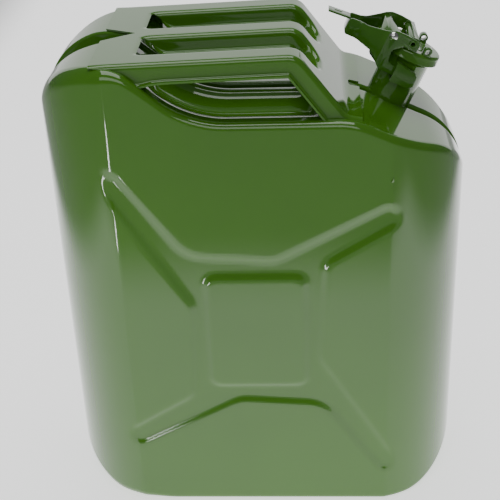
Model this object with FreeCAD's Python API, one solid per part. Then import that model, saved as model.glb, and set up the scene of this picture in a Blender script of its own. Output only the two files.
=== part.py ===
import FreeCAD, Part
import math
import os

os.makedirs("parts", exist_ok=True)

Vector = FreeCAD.Vector

# ---- driving dimensions (millimetres) ----
body_width = 345.0          # over the two side seams, along X
body_depth = 165.0          # over the two flat faces, along Y
hump_top = 412.5            # top of the air chamber at the left
saddle_top = 369.0          # flat top under the handle
shoulder_start = 80.0       # X where the right shoulder begins to fall
shoulder_slope = math.degrees(math.atan(0.45))
sheet = 1.2                 # shell sheet thickness
cross_depth = 2.5           # how far the pressed cross is let into each face
face_y = body_depth / 2
crease_x = 108.5            # soft vertical crease where the flat face ends

bottom_corner = 46.0
hump_corner = 60.0
shoulder_corner = 58.0
hump_slope = 39.4           # degrees, how steeply the hump falls to the saddle
hump_knee = -98.0           # X where the hump begins to fall

groove_wide_half = 14.0     # the seam groove is wide round the air chamber
groove_wide_end = -128.0    # and tapers from here
groove_taper_end = -90.0    # to here, then stays narrow
groove_half = 4.5
groove_depth = 8.0
weld_half = 1.6
weld_height = 1.2

scoop_depth = 6.0           # hand hollow pressed into the saddle of each shell
scoop_inner = 15.0
scoop_outer = 66.0
scoop_left = -74.0
scoop_right = 60.0

cross_centre = 182.0        # height of the middle of the pressed cross
frame_half_width = 41.0     # rectangle left standing in the middle of the cross
frame_half_height = 54.0
frame_round = 9.0

handle_sheet = 1.5
handle_left = -118.0
handle_rise = 1.8           # degrees, the bars climb gently to the right
handle_left_top = 414.2
bend_x = 38.0
leg_slope = 53.0            # degrees below level
slot_left = -85.0
slot_right = 53.0
bar_width = 24.0
bar_pitch = 63.0
bar_depth = 11.0
top_bend_round = 8.0         # outer corner where the bars turn down the leg
foot_bend_round = 14.0
yoke_left_lip = 1.5          # skirt depth at the far left edge of the left yoke
yoke_notch_wide = 15.0
foot_x = 86.0
foot_notch_half = 5.5
notch_start = 1.0            # the foot notch begins this far past the knee
yoke_notch_tip = -92.0      # the left yoke is split over the groove as far as here

neck_radius = 18.75
neck_wall = 1.5
neck_base_x = 109.9
neck_base_y = 12.5          # the neck stands on the rear shell, just behind the seam groove
neck_sink = 4.75            # the neck's own zero level lies this far under the shoulder
neck_height = 43.0
seat_radius = 21.0
seat_depth = 3.7            # below the neck's zero level, level with the groove floor
collar_radius = 20.8
collar_height = 3.0
mouth_radius = 20.2
mouth_height = 4.0

lid_radius = 23.5
lid_bottom = 41.5
lid_top = 50.0
lid_sheet = 1.3
gasket_inner = 10.0
gap = 0.3                   # space left between pieces that move past each other

hinge_u = -28.0             # hinge line of the lid, in the neck's own frame
hinge_w = 36.0
hinge_pin_radius = 2.0
pin_clearance = 0.05
bracket_half = 8.0
bracket_sheet = 1.6
knuckle_radius = 4.2

pivot_u = -6.3              # lever pivot, above the middle of the lid
pivot_w = 56.0
pivot_radius = 3.0
pivot_bore = 1.7
saddle_half = 22.6
rivet_u = -22.8
rivet_w = 56.0
rivet_radius = 2.4
rivet_head_radius = 4.2
rivet_head_height = 2.2

cheek_half = 25.5           # outer faces of the lever where it straddles the neck
lever_tail_half = 8.0
lever_sheet = 1.5
catch_outer = 29.0
catch_sheet = 1.5
catch_left = -11.0          # open end of each catch
catch_low = 22.6
catch_inner = 16.0          # the pocket reaches this close to the neck's middle plane

ear_u = 5.2                 # left edge of each ear
ear_near = 14.4             # the ears stand between these distances from the middle plane
ear_far = 21.0
ear_stem = 3.6
ear_curl = 3.4
ear_sheet = 1.4

strap_sheet = 1.6
saddle_reach = 6.0          # half the saddle's length along the lid
saddle_top_reach = 4.5
tab_start = -75.0
tab_half = 6.0
tab_height = 50.3
tab_tilt = 3.0
plate_tip_y = 17.0          # the latch plate narrows from the front cheek to this point


def box(x0, x1, y0, y1, z0, z1):
    return Part.makeBox(x1 - x0, y1 - y0, z1 - z0, Vector(x0, y0, z0))


def rounded_wire(points, radii, y=0.0):
    """Closed outline in the XZ plane, with each corner rounded to its own radius."""
    count = len(points)
    edges = []
    last_end = None
    first_start = None
    for i in range(count):
        here = Vector(points[i][0], y, points[i][1])
        before = Vector(points[i - 1][0], y, points[i - 1][1])
        after = Vector(points[(i + 1) % count][0], y, points[(i + 1) % count][1])
        radius = radii[i]
        if radius <= 0:
            start = here
            end = here
            arc = None
        else:
            to_before = (before - here).normalize()
            to_after = (after - here).normalize()
            half_angle = to_before.getAngle(to_after) / 2
            reach = radius / math.tan(half_angle)
            start = here + to_before * reach
            end = here + to_after * reach
            bisector = (to_before + to_after).normalize()
            centre = here + bisector * (radius / math.sin(half_angle))
            middle = centre - bisector * radius
            arc = Part.Arc(start, middle, end).toShape()
        if last_end is None:
            first_start = start
        elif (start - last_end).Length > 1e-6:
            edges.append(Part.makeLine(last_end, start))
        if arc is not None:
            edges.append(arc)
        last_end = end
    if (first_start - last_end).Length > 1e-6:
        edges.append(Part.makeLine(last_end, first_start))
    return Part.Wire(edges)


def prism(points, radii, y0, y1):
    """Solid between two Y planes over an outline in the XZ plane."""
    return Part.Face(rounded_wire(points, radii, y0)).extrude(Vector(0, y1 - y0, 0))


def body_outline():
    half = body_width / 2
    fall = math.tan(math.radians(hump_slope))
    drop = math.tan(math.radians(shoulder_slope))
    valley_x = hump_knee + (hump_top - saddle_top) / fall
    corner_z = saddle_top - drop * (half - shoulder_start)
    points = [(-half, 0), (-half, hump_top), (hump_knee, hump_top), (valley_x, saddle_top),
              (shoulder_start, saddle_top), (half, corner_z), (half, 0)]
    radii = [bottom_corner, hump_corner, 30.0, 80.0, 60.0, shoulder_corner, bottom_corner]
    return points, radii


def outline_face(inset):
    points, radii = body_outline()
    face = Part.Face(rounded_wire(points, radii, -body_depth))
    if inset > 0:
        face = face.makeOffset2D(-inset)
    return face


def outline_prism(inset):
    return outline_face(inset).extrude(Vector(0, 2 * body_depth, 0))


def plan_prism(inset):
    """Flat faces front and back, joined at each side by one arc that is square to X at the seam."""
    half = body_width / 2
    reach = half - crease_x
    radius = (reach * reach + face_y * face_y) / (2 * reach)
    centre = half - radius
    r = radius - inset
    y = face_y - inset
    x = centre + math.sqrt(r * r - y * y)
    right = Part.Arc(Vector(x, -y, 0), Vector(centre + r, 0, 0), Vector(x, y, 0)).toShape()
    left = Part.Arc(Vector(-x, y, 0), Vector(-centre - r, 0, 0), Vector(-x, -y, 0)).toShape()
    front = Part.makeLine(Vector(-x, -y, 0), Vector(x, -y, 0))
    back = Part.makeLine(Vector(x, y, 0), Vector(-x, y, 0))
    wire = Part.Wire([front, right, back, left])
    prism_solid = Part.Face(wire).extrude(Vector(0, 0, 2 * hump_top))
    prism_solid.translate(Vector(0, 0, -hump_top / 2))
    return prism_solid


def cross_outline():
    """Half of the pressed cross; the other half is the same turned by half a turn."""
    half = [(-120, 143.5), (-107, 147), (-55, 73), (17, 68), (106, 116), (119, 109), (119, 103.9), (57, 65),
            (51, -26), (120, -138.6)]
    points = [(x, cross_centre + z) for x, z in half]
    points += [(-x, cross_centre - z) for x, z in half]
    radii = [0.5, 7, 30, 25, 6, 0.5, 0.5, 14, 25, 0.5] * 2
    return points, radii


def cross_recess(inset):
    """Room taken out of both faces by the pressed cross, round the rectangle in its middle."""
    points, radii = cross_outline()
    floor_y = face_y - cross_depth - inset
    outline = Part.Face(rounded_wire(points, radii, floor_y))
    if inset > 0:
        outline = outline.makeOffset2D(inset)
    room = outline.extrude(Vector(0, cross_depth * 4, 0))
    w = frame_half_width - inset
    h = frame_half_height - inset
    corners = [(-w, cross_centre - h), (-w, cross_centre + h), (w, cross_centre + h), (w, cross_centre - h)]
    room = room.cut(prism(corners, [frame_round - inset] * 4, 0, body_depth))
    return [room, room.mirror(Vector(0, 0, 0), Vector(0, 1, 0))]


def neck_placement():
    drop = math.tan(math.radians(shoulder_slope))
    surface = saddle_top - drop * (neck_base_x - shoulder_start)
    base = Vector(neck_base_x, neck_base_y, surface - neck_sink)
    return FreeCAD.Placement(base, FreeCAD.Rotation(Vector(0, 1, 0), shoulder_slope))


def on_neck(shape):
    """Move a piece from the neck's own frame (w along the neck) to the can's frame."""
    placed = shape.copy()
    placed.Placement = neck_placement().multiply(placed.Placement)
    return placed


def groove_plan(inset):
    """Where the seam groove lies, seen from above."""
    wide = groove_wide_half + inset
    narrow = groove_half + inset
    points = [(-body_width, wide), (groove_wide_end, wide), (groove_taper_end, narrow), (body_width, narrow)]
    loop = points + [(x, -y) for x, y in reversed(points)]
    face = Part.Face(Part.makePolygon([Vector(x, y, -10) for x, y in loop + loop[:1]]))
    return face.extrude(Vector(0, 0, 2 * hump_top))


def body_solid(inset):
    solid = outline_prism(inset).common(plan_prism(inset))
    ring = outline_prism(0).cut(outline_prism(groove_depth + inset))
    solid = solid.cut(ring.common(groove_plan(inset)))
    under_hand = outline_prism(0).cut(outline_prism(scoop_depth + inset))
    for side in (-1, 1):
        near = side * (scoop_inner - inset)
        far = side * (scoop_outer + inset)
        hand = box(scoop_left - inset, scoop_right + inset, min(near, far), max(near, far),
                   saddle_top - 30, hump_top + 20)
        solid = solid.cut(under_hand.common(hand))
    seat = Part.makeCylinder(seat_radius + inset, 60, Vector(0, 0, -seat_depth - inset))
    solid = solid.cut(on_neck(seat))
    return solid.cut(cross_recess(inset)).removeSplitter()


def shells():
    outer = body_solid(0)
    skin = outer.cut(body_solid(sheet))
    bore = Part.makeCylinder(neck_radius - neck_wall, 80, Vector(0, 0, -40))
    skin = skin.cut(on_neck(bore))
    front = skin.common(box(-200, 200, -100, 0, -10, 500))
    rear = skin.common(box(-200, 200, 0, 100, -10, 500))
    return outer, front, rear


def seam_weld():
    crest = outline_prism(groove_depth - weld_height)
    ring = crest.cut(outline_prism(groove_depth))
    weld = ring.common(box(-200, 200, -weld_half, weld_half, -10, 500))
    seat = Part.makeCylinder(seat_radius + 1, 90, Vector(0, 0, -30))
    return weld.cut(on_neck(seat))


def handle_top(x):
    return handle_left_top + (x - handle_left) * math.tan(math.radians(handle_rise))


def leg_point(x):
    return (x, handle_top(bend_x) - (x - bend_x) * math.tan(math.radians(leg_slope)))


def shoulder_z(x):
    return saddle_top - (x - shoulder_start) * math.tan(math.radians(shoulder_slope))


def channel(points, radii, room_points, room_radii, y0, y1):
    """Bent sheet with two side skirts: an outline, less the room under the sheet."""
    outer = prism(points, radii, y0, y1)
    room = prism(room_points, room_radii, y0 + handle_sheet, y1 - handle_sheet)
    return outer.cut(room)


def handle_bar(y_centre):
    """One bar and its share of the leg: an upside-down channel open below."""
    t = handle_sheet
    slope = math.radians(leg_slope)
    end = leg_point(slot_right)
    past_end = leg_point(slot_right + 2 * t)
    inner_bend = bend_x - bar_depth * math.tan(slope / 2)
    points = [(slot_left, handle_top(slot_left)), (bend_x, handle_top(bend_x)), end,
              (end[0] - bar_depth * math.sin(slope), end[1] - bar_depth * math.cos(slope)),
              (inner_bend, handle_top(inner_bend) - bar_depth),
              (slot_left, handle_top(slot_left) - bar_depth)]
    room_left = slot_left - 3 * t
    room_low = 2 * bar_depth
    room = [(room_left, handle_top(room_left) - t), (bend_x - t / 2, handle_top(bend_x) - t),
            (past_end[0], past_end[1] - t / math.cos(slope)),
            (past_end[0] - room_low, past_end[1] - room_low),
            (inner_bend - 4 * t, handle_top(inner_bend) - room_low),
            (room_left, handle_top(slot_left) - room_low)]
    return channel(points, [0, top_bend_round, 0, 0, 0, 0], room, [0, top_bend_round - t, 0, 0, 0, 0],
                   y_centre - bar_width / 2, y_centre + bar_width / 2)


def yoke_left(outer):
    half = bar_pitch + bar_width / 2
    t = handle_sheet
    x0 = handle_left
    x1 = slot_left
    margin = 5.0
    points = [(x0, handle_top(x0)), (x1, handle_top(x1)), (x1, handle_top(x1) - bar_depth),
              (x0 + margin, handle_top(x0) - 2 * yoke_left_lip), (x0, handle_top(x0) - yoke_left_lip)]
    solid = prism(points, [0] * len(points), -half, half)
    room_low = 2 * bar_depth
    room = [(x0 - margin, handle_top(x0) - t), (x1 + margin, handle_top(x1) - t),
            (x1 + margin, handle_top(x1) - room_low), (x0 - margin, handle_top(x0) - room_low)]
    solid = solid.cut(prism(room, [0] * len(room), -half + t, half - t))
    solid = solid.cut(outer)
    tip = Vector(yoke_notch_tip, 0, 0)
    wide = [Vector(x0 - margin, yoke_notch_wide, 0), Vector(x0 - margin, -yoke_notch_wide, 0)]
    notch = Part.Face(Part.makePolygon([tip] + wide + [tip])).extrude(Vector(0, 0, 2 * hump_top))
    return solid.cut(notch)


def yoke_right(outer):
    half = bar_pitch + bar_width / 2
    t = handle_sheet
    slope = math.radians(leg_slope)
    s = math.sin(slope)
    c = math.cos(slope)
    fall = math.tan(math.radians(shoulder_slope))
    margin = 4.0
    start = leg_point(slot_right)
    knee_x = bend_x + (handle_top(bend_x) - saddle_top) / math.tan(slope) + margin / 2
    knee = (knee_x, saddle_top + t)
    foot = (foot_x, shoulder_z(foot_x) + t)
    points = [start, knee, foot, (foot_x, foot[1] - bar_depth),
              (start[0] - bar_depth * s, start[1] - bar_depth * c)]
    solid = prism(points, [0, foot_bend_round, 0, 0, 0], -half, half)
    low = start[1] - 10 * margin
    left = start[0] - 3 * bar_depth
    room = [(start[0] - margin * c, start[1] + margin * s - t / c), (knee[0] - t / 4, knee[1] - t),
            (foot_x + margin, foot[1] - t - margin * fall), (foot_x + margin, low),
            (left, low), (left, start[1] + 2 * margin)]
    solid = solid.cut(prism(room, [0] * len(room), -half + t, half - t))
    solid = solid.cut(outer)
    notch = box(knee_x + notch_start, foot_x + margin, -foot_notch_half, foot_notch_half,
                saddle_top - bar_depth * 2, saddle_top + bar_depth)
    return solid.cut(notch)


def ring(outer_radius, inner_radius, bottom, top):
    solid = Part.makeCylinder(outer_radius, top - bottom, Vector(0, 0, bottom))
    return solid.cut(Part.makeCylinder(inner_radius, top - bottom + 2, Vector(0, 0, bottom - 1)))


def neck_tube():
    return ring(neck_radius, neck_radius - neck_wall, -seat_depth, neck_height)


def neck_collar():
    return ring(collar_radius, neck_radius, -seat_depth, -seat_depth + collar_height)


def mouth_ring():
    bead = ring(mouth_radius, neck_radius, neck_height - mouth_height, neck_height)
    rims = [e for e in bead.Edges if abs(e.BoundBox.XLength - 2 * mouth_radius) < 0.01
            and e.BoundBox.ZLength < 0.01]
    return bead.makeFillet(0.6, rims)


def catch(side):
    """Pocket on the side of the neck, open at the left, that holds one claw of the lever."""
    t = catch_sheet
    right_top = (7.5, 34.4)
    outer = [(catch_left, 38.6), right_top, (8.0, 25.0), (4.5, catch_low), (catch_left, catch_low)]
    block = prism(outer, [0, 2, 2, 2, 0], catch_inner, catch_outer)
    room_right = right_top[0] - t
    room = [(catch_left - 2 * t, 39.2 - t), (room_right, right_top[1] - t), (room_right, catch_low + t),
            (catch_left - 2 * t, catch_low + t)]
    block = block.cut(prism(room, [0, 1, 1, 0], catch_inner - t, catch_outer - t))
    block = block.cut(Part.makeCylinder(neck_radius, 2 * neck_height, Vector(0, 0, -seat_depth)))
    if side < 0:
        block = block.mirror(Vector(0, 0, 0), Vector(0, 1, 0))
    return block


def pin_along_y(u, w, radius, y0, y1):
    return Part.makeCylinder(radius, y1 - y0, Vector(u, y0, w), Vector(0, 1, 0))


def hinge_bracket():
    """Two cheeks and a web on the neck, with the hinge pin through them."""
    r = knuckle_radius
    root_u = -14.0
    root_low = hinge_w - 16.0
    outline = [(hinge_u - r, hinge_w - r), (hinge_u - r, hinge_w + r), (hinge_u + r, hinge_w + r),
               (root_u, hinge_w - 3.0), (root_u, root_low)]
    block = prism(outline, [4.0, 4.0, 2.0, 0, 0], -bracket_half, bracket_half)
    room_half = bracket_half - bracket_sheet
    room = box(hinge_u - 2 * r, -10, -room_half, room_half, hinge_w - 30, hinge_w + 30)
    web = box(-21.5, root_u, -bracket_half, bracket_half, root_low, hinge_w - 7)
    web = web.common(block)
    block = block.cut(room).fuse(web)
    block = block.cut(Part.makeCylinder(neck_radius, 2 * neck_height, Vector(0, 0, -seat_depth)))
    block = block.cut(pin_along_y(hinge_u, hinge_w, hinge_pin_radius, -2 * bracket_half, 2 * bracket_half))
    return block.removeSplitter()


def hinge_pin():
    length = bracket_half + 1.2
    return pin_along_y(hinge_u, hinge_w, hinge_pin_radius, -length, length)


def lid_disc():
    solid = Part.makeCylinder(lid_radius, lid_top - lid_bottom, Vector(0, 0, lid_bottom))
    top = [e for e in solid.Edges if abs(e.BoundBox.ZMin - lid_top) < 0.01 and e.BoundBox.ZLength < 0.01
           and e.BoundBox.XLength > 1]
    solid = solid.makeFillet(2.5, top)
    room_top = lid_top - lid_sheet
    room = Part.makeCylinder(lid_radius - lid_sheet, room_top, Vector(0, 0, 0))
    return solid.cut(room)


def lid_gasket():
    return ring(lid_radius - lid_sheet - 0.4, gasket_inner, neck_height + gap, lid_top - lid_sheet)


def lid_saddle():
    """Bridge welded to the lid; its two uprights carry the lever pivot and a strap joins their tops."""
    t = lid_sheet
    top = pivot_w + saddle_top_reach
    left = pivot_u - saddle_reach
    right = pivot_u + saddle_reach
    saddle = box(left, right, -saddle_half, saddle_half, lid_top, lid_top + t)
    for side in (-1, 1):
        y0 = saddle_half - t if side > 0 else -saddle_half
        outline = [(left, lid_top), (pivot_u - saddle_top_reach, top),
                   (pivot_u + saddle_top_reach, top), (right, lid_top)]
        saddle = saddle.fuse(prism(outline, [0, 4, 2, 0], y0, y0 + t))
    strap = box(pivot_u + 0.2, pivot_u + saddle_top_reach - 0.8, -saddle_half, saddle_half, top - t, top)
    saddle = saddle.fuse(strap)
    saddle = saddle.cut(pin_along_y(pivot_u, pivot_w, pivot_radius, -40, 40))
    limit = Part.makeCylinder(lid_radius - 0.1, 2 * lid_top, Vector(0, 0, 0))
    return saddle.common(limit).removeSplitter()


def lever_pivot_pin():
    length = cheek_half + 0.8
    pin = pin_along_y(pivot_u, pivot_w, pivot_radius, -length, length)
    return pin.cut(pin_along_y(pivot_u, pivot_w, pivot_bore, -length - 1, length + 1))


def lid_strap():
    """Strap from the lid's crown round its left edge to the hinge knuckle."""
    half = bracket_half - bracket_sheet - gap
    r = knuckle_radius - 0.4
    crown_end = -12.6
    knuckle = pin_along_y(hinge_u, hinge_w, r, -half, half)
    crown = lid_top + strap_sheet
    outline = [(hinge_u - r, hinge_w), (hinge_u - r, crown), (crown_end, crown),
               (crown_end, lid_top), (hinge_u + 1.0, lid_top), (hinge_u + r, hinge_w)]
    arm = prism(outline, [0, 3, 0, 0, 0, 0], -half, half)
    strap = knuckle.fuse(arm)
    strap = strap.cut(pin_along_y(hinge_u, hinge_w, hinge_pin_radius + pin_clearance, -2 * half, 2 * half))
    lid_room = Part.makeCylinder(lid_radius, lid_top - lid_bottom, Vector(0, 0, lid_bottom))
    return strap.cut(lid_room).removeSplitter()


def lid_ear(side):
    """Curled lug standing near the right edge of the lid."""
    y0 = ear_near if side > 0 else -ear_far
    width = ear_far - ear_near
    top = lid_top + ear_stem
    t = ear_sheet
    stem = box(ear_u, ear_u + t, y0, y0 + width, lid_top, top)
    middle = Vector(ear_u + ear_curl, y0, top)
    curl = Part.makeCylinder(ear_curl, width, middle, Vector(0, 1, 0))
    curl = curl.cut(Part.makeCylinder(ear_curl - t, width, middle, Vector(0, 1, 0)))
    curl = curl.cut(box(ear_u + t, ear_u + ear_curl + 0.6, y0, y0 + width, top - 2 * ear_curl, top))
    foot = box(ear_u, ear_u + 2 * ear_curl, y0, y0 + width, lid_top, lid_top + t)
    lug = stem.fuse([curl, foot])
    limit = Part.makeCylinder(lid_radius - 0.1, 2 * lid_top, Vector(0, 0, 0))
    return lug.common(limit).removeSplitter()


def lever_side_outline():
    points = [(-57.0, 38.5), (-57.3, 52.0), (-42.0, 53.0), (-31.0, 57.0), (-22.0, 61.0), (-14.0, 61.0),
              (-1.0, 59.5), (-0.6, 51.4), (-12.0, 51.4), (-19.5, 45.5), (-18.5, 36.0), (-4.6, 32.6),
              (-4.6, 27.0), (-23.5, 27.5), (-32.0, 37.0), (-45.0, 38.5)]
    radii = [2, 3, 10, 12, 8, 8, 4.5, 4, 2, 4, 3, 2.5, 2.5, 8, 10, 6]
    return points, radii


def lever_plan(half_grow):
    """Plan of the lever: narrow rounded tail, then cheeks that spread to straddle the neck."""
    tail = lever_tail_half + half_grow
    wide = cheek_half + half_grow
    points = [(-58.0 - half_grow, tail), (-48.0, tail + 0.5), (-27.0, wide), (10.0, wide)]
    loop = points + [(x, -y) for x, y in reversed(points)]
    face = Part.Face(Part.makePolygon([Vector(x, y, 0) for x, y in loop + loop[:1]]))
    return face.extrude(Vector(0, 0, 100))


def lever():
    points, radii = lever_side_outline()
    side = prism(points, radii, -cheek_half, cheek_half)
    solid = side.common(lever_plan(0)).cut(lever_plan(-lever_sheet))
    tab = box(tab_start, hinge_u * 2 - 1, -tab_half, tab_half, 0, lever_sheet)
    tab = tab.cut(box(tab_start + 5, tab_start + 11, -1.0, 1.0, -lever_sheet, 2 * lever_sheet))
    tab.rotate(Vector(-57, 0, 0), Vector(0, 1, 0), -tab_tilt)
    tab.translate(Vector(0, 0, tab_height))
    solid = solid.fuse(tab)
    solid = solid.cut(pin_along_y(pivot_u, pivot_w, pivot_radius + pin_clearance, -40, 40))
    solid = solid.cut(pin_along_y(rivet_u, rivet_w, rivet_radius, -40, 40))
    return solid.removeSplitter()


def latch_plate():
    """Three-cornered plate between the cheeks, with a flange on each cheek held by the long rivet."""
    half = cheek_half - lever_sheet - 0.02
    t = lever_sheet
    left = -34.0
    right = -17.6
    web = prism([(left, 54.0), (left + 0.6, 55.6), (right - 0.4, 60.2), (right, 58.6)], [0] * 4, -half, half)
    tip = 2.0
    middle = (left + right) / 2
    corners = [(left, -half), (right, -half), (middle + tip, plate_tip_y), (middle + tip, half),
               (middle - tip, half), (middle - tip, plate_tip_y)]
    face = Part.Face(Part.makePolygon([Vector(u, y, 0) for u, y in corners + corners[:1]]))
    plate = web.common(face.extrude(Vector(0, 0, 2 * lid_top)))
    for side in (-1, 1):
        y0 = half - t if side > 0 else -half
        flange = prism([(-28.0, 52.0), (-28.0, 57.0), (-18.0, 59.6), (-18.0, 52.0)], [2, 0, 0, 2], y0, y0 + t)
        plate = plate.fuse(flange)
    plate = plate.cut(pin_along_y(rivet_u, rivet_w, rivet_radius, -40, 40))
    return plate.common(lever_plan(-lever_sheet - 0.02)).removeSplitter()


def latch_rivet():
    """Long rivet through both cheeks, with a domed head outside each."""
    rivet = pin_along_y(rivet_u, rivet_w, rivet_radius, -cheek_half, cheek_half)
    for side in (-1, 1):
        head = Part.makeSphere(rivet_head_radius, Vector(rivet_u, 0, rivet_w))
        head.translate(Vector(0, side * (cheek_half + rivet_head_height - rivet_head_radius), 0))
        near = cheek_half if side > 0 else -2 * cheek_half
        keep = box(2 * rivet_u, 0, near, near + cheek_half, 0, 2 * rivet_w)
        rivet = rivet.fuse(head.common(keep))
    return rivet.removeSplitter()


outer_body, front_shell, rear_shell = shells()
nodes = {
    "shell_front": front_shell,
    "shell_rear": rear_shell,
    "seam_weld": seam_weld(),
    "handle_bar_front": handle_bar(-bar_pitch),
    "handle_bar_middle": handle_bar(0.0),
    "handle_bar_rear": handle_bar(bar_pitch),
    "handle_yoke_left": yoke_left(outer_body),
    "handle_yoke_right": yoke_right(outer_body),
    "neck_tube": on_neck(neck_tube()),
    "neck_collar": on_neck(neck_collar()),
    "mouth_ring": on_neck(mouth_ring()),
    "catch_front": on_neck(catch(-1)),
    "catch_rear": on_neck(catch(1)),
    "hinge_bracket": on_neck(hinge_bracket()),
    "hinge_pin": on_neck(hinge_pin()),
    "lid_disc": on_neck(lid_disc()),
    "lid_gasket": on_neck(lid_gasket()),
    "lid_saddle": on_neck(lid_saddle()),
    "lid_strap": on_neck(lid_strap()),
    "lid_ear_front": on_neck(lid_ear(-1)),
    "lid_ear_rear": on_neck(lid_ear(1)),
    "lever_pivot_pin": on_neck(lever_pivot_pin()),
    "lever": on_neck(lever()),
    "latch_plate": on_neck(latch_plate()),
    "latch_rivet": on_neck(latch_rivet()),
}
for name, shape in nodes.items():
    print(name, shape.isValid(), len(shape.Solids), round(shape.Volume), shape.BoundBox)
    shape.exportStep("parts/" + name + ".step")
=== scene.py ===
import bpy, bmesh, math
import numpy as np
from mathutils import Vector, Quaternion, Matrix


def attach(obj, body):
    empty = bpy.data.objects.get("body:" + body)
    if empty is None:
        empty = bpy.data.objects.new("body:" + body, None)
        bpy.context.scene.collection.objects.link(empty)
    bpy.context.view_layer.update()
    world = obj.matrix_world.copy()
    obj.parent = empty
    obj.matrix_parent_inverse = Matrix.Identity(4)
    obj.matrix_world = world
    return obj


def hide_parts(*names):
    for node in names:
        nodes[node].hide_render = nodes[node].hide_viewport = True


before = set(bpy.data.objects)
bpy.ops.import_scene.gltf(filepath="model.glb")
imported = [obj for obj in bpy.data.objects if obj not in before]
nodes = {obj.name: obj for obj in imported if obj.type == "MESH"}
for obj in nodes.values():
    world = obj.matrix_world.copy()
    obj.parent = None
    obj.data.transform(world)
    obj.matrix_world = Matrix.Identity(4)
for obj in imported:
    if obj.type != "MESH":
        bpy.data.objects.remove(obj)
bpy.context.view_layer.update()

mm = 0.001  # shapes are worked out in millimetres and set down in metres


def clearSelection():
    if bpy.context.object and bpy.context.object.mode != "OBJECT":
        bpy.ops.object.mode_set(mode="OBJECT")
    bpy.ops.object.select_all(action="DESELECT")


def pickOnly(obj):
    clearSelection()
    obj.select_set(True)
    bpy.context.view_layer.objects.active = obj
    return obj


def editMode(obj):
    pickOnly(obj)
    bpy.ops.object.mode_set(mode="EDIT")
    bpy.ops.mesh.select_mode(type="VERT")


def objectMode():
    bpy.ops.object.mode_set(mode="OBJECT")


def turnFacesOver(obj):
    editMode(obj)
    bpy.ops.mesh.select_all(action="SELECT")
    bpy.ops.mesh.flip_normals()
    objectMode()


def addSheet(obj, thickness):
    # the drawn surface is the outside; the wall grows inwards from it
    wall = obj.modifiers.new("sheet", "SOLIDIFY")
    wall.thickness = thickness * mm
    wall.offset = -1
    applyAll(obj)


def applyAll(obj):
    pickOnly(obj)
    for m in list(obj.modifiers):
        bpy.ops.object.modifier_apply(modifier=m.name)


def smooth(obj, degrees):
    pickOnly(obj)
    bpy.ops.object.shade_smooth_by_angle(angle=math.radians(degrees))


def dress(obj, name, body, material, slot, *standsFor):
    obj.name = name
    obj.data.name = name
    obj.data.materials.clear()
    obj.data.materials.append(material)
    for p in obj.data.polygons:
        p.material_index = 0
    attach(obj, body)
    if standsFor:
        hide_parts(*standsFor)
    return obj


# where the camera stands in metres, and how it is turned in degrees
view = {"place": (0.0464, -0.8379, 0.6876), "down": 29.37, "turn": -3.73, "roll": -2.57, "lens": 78.6}


def addCamera():
    down, turn = math.radians(view["down"]), math.radians(view["turn"])
    ahead = Vector((math.sin(turn) * math.cos(down), math.cos(turn) * math.cos(down), -math.sin(down)))
    bpy.ops.object.camera_add(location=view["place"])
    cam = bpy.context.object
    cam.rotation_mode = "QUATERNION"
    roll = Quaternion((0, 0, 1), math.radians(view["roll"]))
    cam.rotation_quaternion = ahead.to_track_quat("-Z", "Y") @ roll
    cam.data.lens = view["lens"]
    cam.data.sensor_width = 36
    bpy.context.scene.camera = cam


# the pool keys set the floor's painted pool of light, an emitting patch; the other keys are lamps and the
# room
studio = {"floorSize": 9.0, "floorTone": 0.8, "poolGlow": 1.2, "poolSoft": 0.10,
          "poolMiddle": (0.0, 0.75), "poolHalf": (0.62, 1.25),
          "roomTone": (0.95, 0.97, 1.0), "roomPower": 0.11, "aim": (0, 0, 0.2),
          "topPlace": (0.0, 0.1, 1.9), "topSize": 1.2, "topPower": 13,
          "backPlace": (0.0, 2.3, 0.9), "backWide": 4.4, "backTall": 1.8, "backPower": 22,
          "frontPlace": (-0.3, -2.3, 2.0), "frontWide": 2.6, "frontTall": 1.3, "frontPower": 20,
          "leftPlace": (-0.365, -0.66, 0.03), "leftWide": 0.07, "leftLong": 0.42, "leftTurn": 15,
          "leftPower": 1.6}


def addLight(name, place, target, wide, tall, power):
    bpy.ops.object.light_add(type="AREA", location=place)
    lamp = bpy.context.object
    lamp.name = name
    lamp.data.shape = "RECTANGLE"
    lamp.data.size = wide
    lamp.data.size_y = tall
    lamp.data.energy = power
    lamp.rotation_mode = "QUATERNION"
    lamp.rotation_quaternion = (Vector(target) - Vector(place)).to_track_quat("-Z", "Y")
    lamp.visible_camera = False
    return lamp


def addNode(tree, kind, place, **values):
    node = tree.nodes.new(kind)
    node.location = place
    for key, value in values.items():
        setattr(node, key, value)
    return node


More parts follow.
